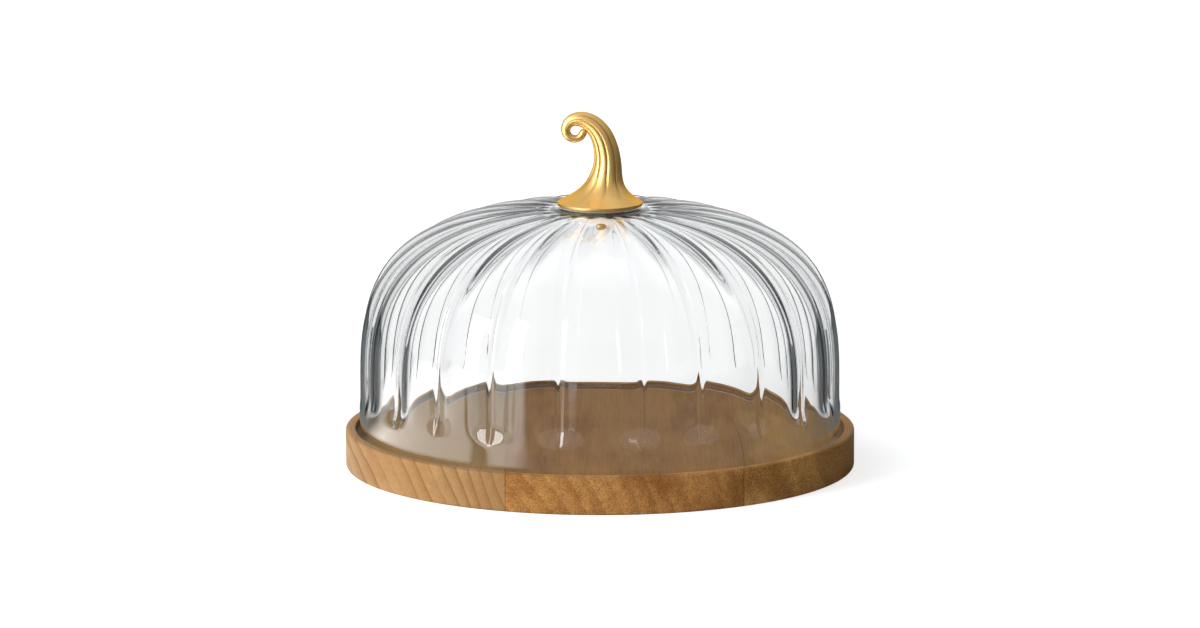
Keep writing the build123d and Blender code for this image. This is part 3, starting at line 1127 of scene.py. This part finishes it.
@dataclass
class BrassStem:
    """Cast stem: a round foot that flares out of a ridged neck, which ends in a curl towards -X.

    Attributes:
        foot_z: Height of the foot's flat underside.
        foot_diameter: Diameter of the foot.
        hole_radius: Radius of the tapped hole in the foot.
        hole_depth: Depth of that hole.
        foot_rim: Height of the foot's edge.
        foot_rounding: Rounding of the edge's lower corner.
        neck_diameter: Diameter that the neck would have at the foot without its flare.
        shoulder_diameter: Diameter where the neck passes into the curl.
        tip_diameter: Diameter at the curl's end.
        flare_height: Height over which the foot's flare falls to 1/e.
        flare_sharpness: Power in the flare's formula.
        neck_bow: How far the low neck bows towards +X.
        neck_bow_height: Height above the foot at which it bows most.
        upright_height: Height over which the sections turn from level to square with the neck.
        leave: Length of the neck's handle at the foot.
        arrive: Length of its handle at the curl.
        curl_reach: How far the curl's middle lies towards -X.
        curl_rise: Height of the curl's middle above the foot.
        curl_radius: Radius to which the curl closes.
        curl_swing: How much wider it starts.
        curl_decay: Turn in degrees over which that falls to 1/e.
        curl_start: Turn at which the curl starts, in degrees from level towards +X.
        curl_end: Turn at which it ends.
        taper: Power by which the curl thins.
        ridges: Number of ridges round the stem.
        ridge_depth: Depth of the grooves between the ridges.
        ridge_run_in: Height over which they deepen.
        groove_softness: Rounding of a groove's bottom.
        columns_per_ridge: Points across each ridge.
    """

    foot_z: float
    foot_diameter: float
    hole_radius: float
    hole_depth: float = 9.0 * MM
    foot_rim: float = 1.6 * MM
    foot_rounding: float = 0.8 * MM
    neck_diameter: float = 16.0 * MM
    shoulder_diameter: float = 12.0 * MM
    tip_diameter: float = 3.8 * MM
    flare_height: float = 6.0 * MM
    flare_sharpness: float = 1.15
    neck_bow: float = 1.4 * MM
    neck_bow_height: float = 7.0 * MM
    upright_height: float = 16.0 * MM
    leave: float = 8.0 * MM
    arrive: float = 14.6 * MM
    curl_reach: float = 12.5 * MM
    curl_rise: float = 37.68 * MM
    curl_radius: float = 4.3 * MM
    curl_swing: float = 12.5 * MM
    curl_decay: float = 48.0
    curl_start: float = -26.6
    curl_end: float = 342.0
    taper: float = 2.8
    ridges: int = 10
    ridge_depth: float = 0.6 * MM
    ridge_run_in: float = 12.0 * MM
    groove_softness: float = 0.12
    columns_per_ridge: int = 18

    def curl(self, degrees: np.ndarray) -> np.ndarray:
        """The curl's centreline: a circle whose radius falls exponentially with the turn.

        Args:
            degrees: How far round the curl, from level towards +X.

        Returns:
            X and Z of the centreline there.
        """
        radius = self.curl_radius + self.curl_swing * np.exp(-(degrees - self.curl_start) / self.curl_decay)
        angle = np.radians(degrees)
        centre = np.array([-self.curl_reach, self.foot_z + self.curl_rise])
        return centre + np.stack([radius * np.cos(angle), radius * np.sin(angle)], axis=-1)

    def curl_heading(self, degrees: np.ndarray) -> np.ndarray:
        """Unit direction of the curl's centreline."""
        ahead = self.curl(degrees + 0.5) - self.curl(degrees - 0.5)
        return ahead / np.linalg.norm(ahead, axis=-1, keepdims=True)

    def foot(self) -> Stations:
        """The rounded lower edge of the foot, a quarter of a circle.

        Returns:
            The foot's sections.
        """
        turn = np.radians(np.linspace(0.0, 90.0, 7)[:-1])
        heights = self.foot_z + self.foot_rounding * (1 - np.cos(turn))
        widths = self.foot_diameter - 2 * self.foot_rounding * (1 - np.sin(turn))
        headings = np.tile(UPWARD, (len(turn), 1))
        return Stations(np.stack([0 * turn, heights], axis=1), headings, widths, 0 * turn)

    def neck(self) -> Stations:
        """The neck, from the foot into the curl.

        It follows a cubic curve, bowed away from it low down by s exp(1 - s) with
        s = (h / B)^2. Its diameter falls evenly, and the foot's flare, exp(-(h / H)^n), is
        added to it.

        Returns:
            The neck's sections.
        """
        first = np.array([0.0, self.foot_z + self.foot_rim])
        start = np.array(self.curl_start)
        last, arrival = self.curl(start), self.curl_heading(start)
        a, b, c, d = first, first + UPWARD * self.leave, last - arrival * self.arrive, last
        t = (np.linspace(0.0, 1.0, 90, endpoint=False) ** 1.15)[:, None]
        centres = a * (1 - t) ** 3 + 3 * b * t * (1 - t) ** 2 + 3 * c * t * t * (1 - t) + d * t**3
        tangent = (b - a) * (1 - t) ** 2 + 2 * (c - b) * t * (1 - t) + (d - c) * t * t
        tangent /= np.linalg.norm(tangent, axis=1, keepdims=True)
        height = centres[:, 1] - first[1]
        bowing = (height / self.neck_bow_height) ** 2
        centres[:, 0] += self.neck_bow * bowing * np.exp(1 - bowing)
        lean = smooth_step(height / self.upright_height)[:, None]
        climbed = height / (last[1] - first[1])
        even = self.neck_diameter + (self.shoulder_diameter - self.neck_diameter) * climbed
        fall = np.exp(-((height / self.flare_height) ** self.flare_sharpness))
        flare = (self.foot_diameter - self.neck_diameter) * fall
        depths = self.ridge_depth * smooth_step(height / self.ridge_run_in)
        return Stations(centres, UPWARD * (1 - lean) + tangent * lean, even + flare, depths)

    def curled_end(self) -> Stations:
        """The curl, which thins as a power of what is left of it, and its half-round tip.

        Returns:
            The curl's sections.
        """
        turned = np.linspace(0.0, 1.0, 150)
        degrees = self.curl_start + (self.curl_end - self.curl_start) * turned
        left = (1 - turned) ** self.taper
        widths = self.tip_diameter + (self.shoulder_diameter - self.tip_diameter) * left
        rounding = np.radians(np.linspace(0.0, 90.0, 8)[1:])[:, None]
        end = np.array(self.curl_end)
        heading = self.curl_heading(end)
        tip = self.curl(end) + heading * self.tip_diameter / 2 * np.sin(rounding)
        return Stations(
            np.vstack([self.curl(degrees), tip]),
            np.vstack([self.curl_heading(degrees), np.tile(heading, (len(tip), 1))]),
            np.concatenate([widths, self.tip_diameter * np.cos(rounding[:, 0])]),
            np.concatenate([self.ridge_depth * left, 0 * rounding[:, 0]]),
        )

    def surface(self) -> tuple[Surface, np.ndarray]:
        """The casting's skin, with the tapped hole in its foot.

        A section is a circle, sunk between the ridges by the depth times 0.3 v^2 + 0.7 v^7,
        where v is the way from the crest to the groove, with a soft bottom.

        Returns:
            The surface, and how deep in a groove each point lies, from 0 to 1.
        """
        stations = Stations.joined([self.foot(), self.neck(), self.curled_end()])
        count = self.ridges * self.columns_per_ridge
        column = np.arange(count)
        angle = FRONT + 2 * math.pi * column / count
        across = np.abs(2 * ((column / self.columns_per_ridge) % 1.0) - 1)
        soft = self.groove_softness
        valley = 1 - (np.hypot(1 - across, soft) - soft) / (math.hypot(1.0, soft) - soft)
        depths = stations.depths[:, None]
        radius = stations.widths[:, None] / 2 - depths * (0.3 * valley**2 + 0.7 * valley**7)
        side = radius * np.cos(angle)
        x = stations.centres[:, :1] + stations.headings[:, 1:] * side
        z = stations.centres[:, 1:] - stations.headings[:, :1] * side
        body = np.stack([x, radius * np.sin(angle), z], axis=-1)
        radii = np.array([[0.0], [self.hole_radius], [self.hole_radius]])
        heights = self.foot_z + np.array([[self.hole_depth], [self.hole_depth], [0.0]])
        bore = round_axis(radii, angle, heights)
        groove = np.vstack([np.zeros((len(bore), count)), valley**6 * (depths / self.ridge_depth)])
        return Surface(np.concatenate([bore, body])), groove

    def build(self) -> None:
        """Makes the casting and dresses it."""
        surface, groove = self.surface()
        piece = surface.build("stem_casting", {"groove": groove})
        crease(piece, 50.0)
        dress(piece, SatinBrass("satin_brass_casting", groove_layer="groove").material())
        settle(piece, "cover", "satin_brass", "brass_stem")


# --- Fixing through the crown -------------------------------------------------------------------


@dataclass(frozen=True)
class CapNut:
    """Low cap nut that hangs cap down under the crown.

    Attributes:
        half_flats: Half the distance across its flats.
        hex_height: Height of its hexagon.
        cap_radius: Radius of its cap.
        cap_rounding: Rounding of the cap's end.
        bore_radius: Radius of its blind bore.
        bore_depth: Depth of the bore.
        chamfer: Width and height of the hexagon's turned chamfers.
        columns: Points round it.
    """

    half_flats: float = 4.0 * MM
    hex_height: float = 2.8 * MM
    cap_radius: float = 3.6 * MM
    cap_rounding: float = 1.6 * MM
    bore_radius: float = 2.55 * MM
    bore_depth: float = 3.5 * MM
    chamfer: tuple[float, float] = (0.5 * MM, 0.4 * MM)
    columns: int = 144

    def surface(self, low: float, top: float) -> Surface:
        """The nut's skin.

        The hexagon's radius is the lesser of a turned profile and f / cos(a), where a is the
        angle from the middle of the nearest flat, so its corners are chamfered as they are on
        a turned nut.

        Args:
            low: Height of the cap's end.
            top: Height of the face against the washer.

        Returns:
            The surface.
        """
        corner, hex_low = self.half_flats / math.cos(math.pi / 6), top - self.hex_height
        wide, high = self.chamfer
        arc_centre = (self.cap_radius - self.cap_rounding, low + self.cap_rounding)
        arc = corner_arc(arc_centre, self.cap_rounding, -90.0, 0.0, 10)
        cap = np.vstack([[(0.0, low), (0.5 * self.cap_radius, low)], arc, [(self.cap_radius, hex_low)]])
        hexagon = np.array([
            (corner - wide, hex_low),
            (corner, hex_low + high),
            (corner, top - high),
            (corner - wide, top),
        ])
        bore_end = top - self.bore_depth
        bore = [(self.bore_radius, top), (self.bore_radius, bore_end), (0.0, bore_end)]
        angle = np.linspace(0.0, 2 * math.pi, self.columns, endpoint=False)
        from_flat = np.abs((angle + math.pi / 6) % (math.pi / 3) - math.pi / 6)
        profile = np.vstack([cap, hexagon, bore])
        flats = np.full((len(profile), self.columns), np.inf)
        flats[len(cap):len(cap) + len(hexagon)] = self.half_flats / np.cos(from_flat)
        return Surface(round_axis(np.minimum(profile[:, :1], flats), angle, profile[:, 1:]))


@dataclass
class CrownFixing:
    """What clamps the stem to the glass: stud, bush, two gaskets, washer and cap nut.

    Attributes:
        bore: Radius of the hole through the rings.
        easing: Rounding of their edges.
        columns: Points round them.
    """

    bore: float = 2.7 * MM
    easing: float = 0.25 * MM
    columns: int = 96

    def ring(self, name: str, node: str, slot: str, material: bpy.types.Material) -> None:
        """A flat ring or tube with eased edges, in the box of its CAD node.

        Args:
            name: Name of the piece.
            node: CAD node that gives its outside, and that it replaces.
            slot: Material slot in the record.
            material: Its finish.
        """
        low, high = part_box(node)
        ease = self.easing
        inner, outer = self.bore + ease, high.x - ease
        lower, upper = low.z + ease, high.z - ease
        centres = [(outer, lower), (outer, upper), (inner, upper), (inner, lower)]
        starts = (-90.0, 0.0, 90.0, 180.0)
        corners = [corner_arc(at, ease, start, start + 90.0, 4) for at, start in zip(centres, starts)]
        piece = turned_surface(np.vstack(corners), self.columns, rows_close=True).build(name)
        dress(piece, material)
        settle(piece, "cover", slot, node)

    def build(self) -> None:
        """Makes the fixing and dresses it."""
        rubber = ClearRubber("milky_rubber").material()
        brass = SatinBrass("turned_brass", (0.78, 0.55, 0.25), roughness=0.2).material()
        self.ring("upper_gasket", "foot_gasket", "clear_rubber", rubber)
        self.ring("crown_bush", "hole_bush", "clear_rubber", rubber)
        self.ring("lower_gasket", "clamp_gasket", "clear_rubber", rubber)
        self.ring("brass_washer", "clamp_washer", "plain_brass", brass)
        low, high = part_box("cap_nut")
        nut = CapNut().surface(low.z, high.z).build("low_cap_nut")
        crease(nut, 25.0)
        dress(nut, brass)
        settle(nut, "cover", "plain_brass", "cap_nut")
        dress(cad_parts["stem_stud"], brass)
        log.info("stem_stud: CAD node kept, dressed in turned brass")


# --- Studio -------------------------------------------------------------------------------------


@dataclass
class Studio:
    """Pale floor, soft lamps, a plain surround and the camera.

    Attributes:
        camera_distance: Distance from the camera to the point that it looks at.
        camera_rise: How many degrees it stands above that point.
        lens: Its focal length, in millimetres.
        aim_z: Height of the point that it looks at.
    """

    camera_distance: float = 3.77
    camera_rise: float = 10.5
    lens: float = 226.9
    aim_z: float = 75.7 * MM

    def camera(self) -> None:
        """Puts the camera in front of the object, a little above it."""
        data = bpy.data.cameras.new("camera")
        data.lens, data.sensor_width = self.lens, 36.0
        data.clip_end = 60.0
        camera = bpy.data.objects.new("camera", data)
        bpy.context.scene.collection.objects.link(camera)
        rise = math.radians(self.camera_rise)
        aim = Vector((0.0, 0.0, self.aim_z))
        camera.location = aim + self.camera_distance * Vector((0.0, -math.cos(rise), math.sin(rise)))
        camera.rotation_euler = (aim - camera.location).to_track_quat("-Z", "Y").to_euler()
        bpy.context.scene.camera = camera

    def lamp(
        self,
        name: str,
        place: tuple[float, float, float],
        size: tuple[float, float],
        watts: float,
    ) -> None:
        """A soft lamp that points at the middle of the object.

        Args:
            name: Name of the lamp.
            place: Where it hangs.
            size: Its width and height.
            watts: Its power.
        """
        data = bpy.data.lights.new(name, "AREA")
        data.shape, data.energy = "RECTANGLE", watts
        data.size, data.size_y = size
        lamp = bpy.data.objects.new(name, data)
        bpy.context.scene.collection.objects.link(lamp)
        lamp.location = place
        way = Vector((0.0, 0.0, self.aim_z)) - lamp.location
        lamp.rotation_euler = way.to_track_quat("-Z", "Y").to_euler()
        lamp.visible_camera = False
        lamp.visible_transmission = False

    def floor_paint(self) -> bpy.types.Material:
        """Pale paint that glows a little, brighter far off.

        What mirrors show of it is a bright card to the left of the front, with one dark gap,
        and dim elsewhere. The glow lights nothing.

        Returns:
            The material.
        """
        material, bench = new_material("pale_floor")
        x, y, _ = bench.place()
        path = bench.node("ShaderNodeLightPath").outputs
        scattered = Signal(bench, path["Diffuse Depth"]).least(1.0)
        mirrored = Signal(bench, path["Glossy Depth"]).least(1.0)
        beyond_card = (x * 0.807 - y * 0.59 - 0.037).ramp(-0.02, 0.02).most(y.ramp(0.02, 0.08))
        gap = abs(x * 0.5 - y * 0.866 - 0.06).ramp(0.018, 0.008)
        no_card = beyond_card.most(gap)
        far = (x * x + y * y).root().ramp(0.3, 1.6)
        strength = (0.7 + 0.29 * far + 1.9 * mirrored * (1.0 - no_card)) * (1.0 - scattered)
        pale = bench.node("ShaderNodeBsdfDiffuse", sockets={"Color": (0.7, 0.7, 0.7, 1.0)}).outputs[0]
        dim = bench.node("ShaderNodeBsdfDiffuse", sockets={"Color": (0.26, 0.28, 0.29, 1.0)}).outputs[0]
        glow = bench.node("ShaderNodeEmission", sockets={"Strength": strength}).outputs[0]
        bright = bench.node("ShaderNodeAddShader", sockets={0: pale, 1: glow}).outputs[0]
        share = mirrored * (1.0 - scattered) * (0.2 + 0.8 * no_card)
        mixed = bench.node("ShaderNodeMixShader", sockets={0: share, 1: bright, 2: dim}).outputs[0]
        bench.node("ShaderNodeOutputMaterial", sockets={0: mixed})
        return material

    def floor(self) -> None:
        """A wide pale disc that keeps the object's shadow."""
        radii = np.array([0.0, 0.15, 0.4, 1.2, 4.0, 14.0])
        piece = turned_surface(np.column_stack([radii, 0 * radii]), 96).build("floor")
        dress(piece, self.floor_paint())

    def surround(self) -> None:
        """The world: white to the camera, soft light on the object, and panels for glass and metal."""
        world = bpy.data.worlds.new("surround")
        bpy.context.scene.world = world
        world.use_nodes = True
        bench = Bench(world.node_tree)
        path = bench.node("ShaderNodeLightPath").outputs
        seen = Signal(bench, path["Is Camera Ray"])
        scattered = Signal(bench, path["Diffuse Depth"]).least(1.0)
        mirrored = Signal(bench, path["Glossy Depth"]).least(1.0)
        trapped = ((Signal(bench, path["Glossy Depth"]) - 2.0) * 0.32).least(1.0).most(0.0)
        entered = Signal(bench, path["Transmission Depth"]).least(1.0)
        x, y, z = bench.split(bench.node("ShaderNodeTexCoord").outputs["Generated"])
        left = (x * -0.86 + y * -0.35 + z * 0.36).ramp(0.62, 0.8)
        overhead = z.ramp(0.25, 0.6)
        right = (x * 0.93 + y * 0.2 + z * 0.3).ramp(0.86, 0.93)
        behind = y.ramp(0.55, 0.9)
        panels = (0.08 + left * 0.92 + overhead * 0.5 + right * 0.15 + behind * 0.87).least(1.0)
        inside = 0.95 - 0.8 * trapped
        through = 1.0 - 0.8 * abs(x).ramp(0.7, 0.92) * z.ramp(0.0, 0.08)
        within = inside * mirrored + through * (1.0 - mirrored)
        shown = within * entered + panels * (1.0 - entered)
        daylight = 0.39 - x * 0.1 - y * 0.2 - z * 0.24
        light = (shown * (1.0 - scattered) + daylight * scattered) * (1.0 - seen) + seen
        tint = bench.blend(trapped * entered, (1.0, 1.0, 1.0), (0.7, 0.86, 1.0))
        glow = bench.node("ShaderNodeBackground", sockets={"Color": tint, "Strength": light}).outputs[0]
        bench.node("ShaderNodeOutputWorld", sockets={0: glow})

    def build(self) -> None:
        """Sets the studio up."""
        self.camera()
        self.floor()
        self.surround()
        self.lamp("key", (-1.6, -1.3, 0.8), (0.9, 1.5), 47.0)
        self.lamp("overhead", (0.1, 0.35, 1.75), (1.2, 1.2), 2.0)
        self.lamp("strip", (0.8, -1.9, 0.75), (0.12, 1.1), 1.6)
        scene = bpy.context.scene
        scene.view_settings.view_transform = "Standard"
        scene.cycles.max_bounces = scene.cycles.transmission_bounces = 24
        scene.cycles.glossy_bounces = 14


# --- Assembly -----------------------------------------------------------------------------------


def main() -> None:
    """Builds the studio and every sub-assembly, in order."""
    logging.basicConfig(level=logging.INFO, format="%(name)s %(message)s")
    Studio().build()

    board_low, board_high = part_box("board_stave_middle")
    glass_low, glass_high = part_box("glass_dome")
    foot_low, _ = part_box("brass_stem")
    board = ServingBoard(
        radius=board_high.y,
        thickness=board_high.z,
        recess_radius=glass_high.x + 2.0 * MM,
        floor_z=glass_low.z,
        left_joint=board_low.x,
        right_joint=board_high.x,
    )
    board.build()
    GlassCover(radius=glass_high.x, floor_z=glass_low.z, crown_z=glass_high.z, hole_radius=4.4 * MM).build()
    BrassStem(foot_z=foot_low.z, foot_diameter=42.6 * MM, hole_radius=2.55 * MM).build()
    CrownFixing().build()


if __name__ == "__main__":
    main()
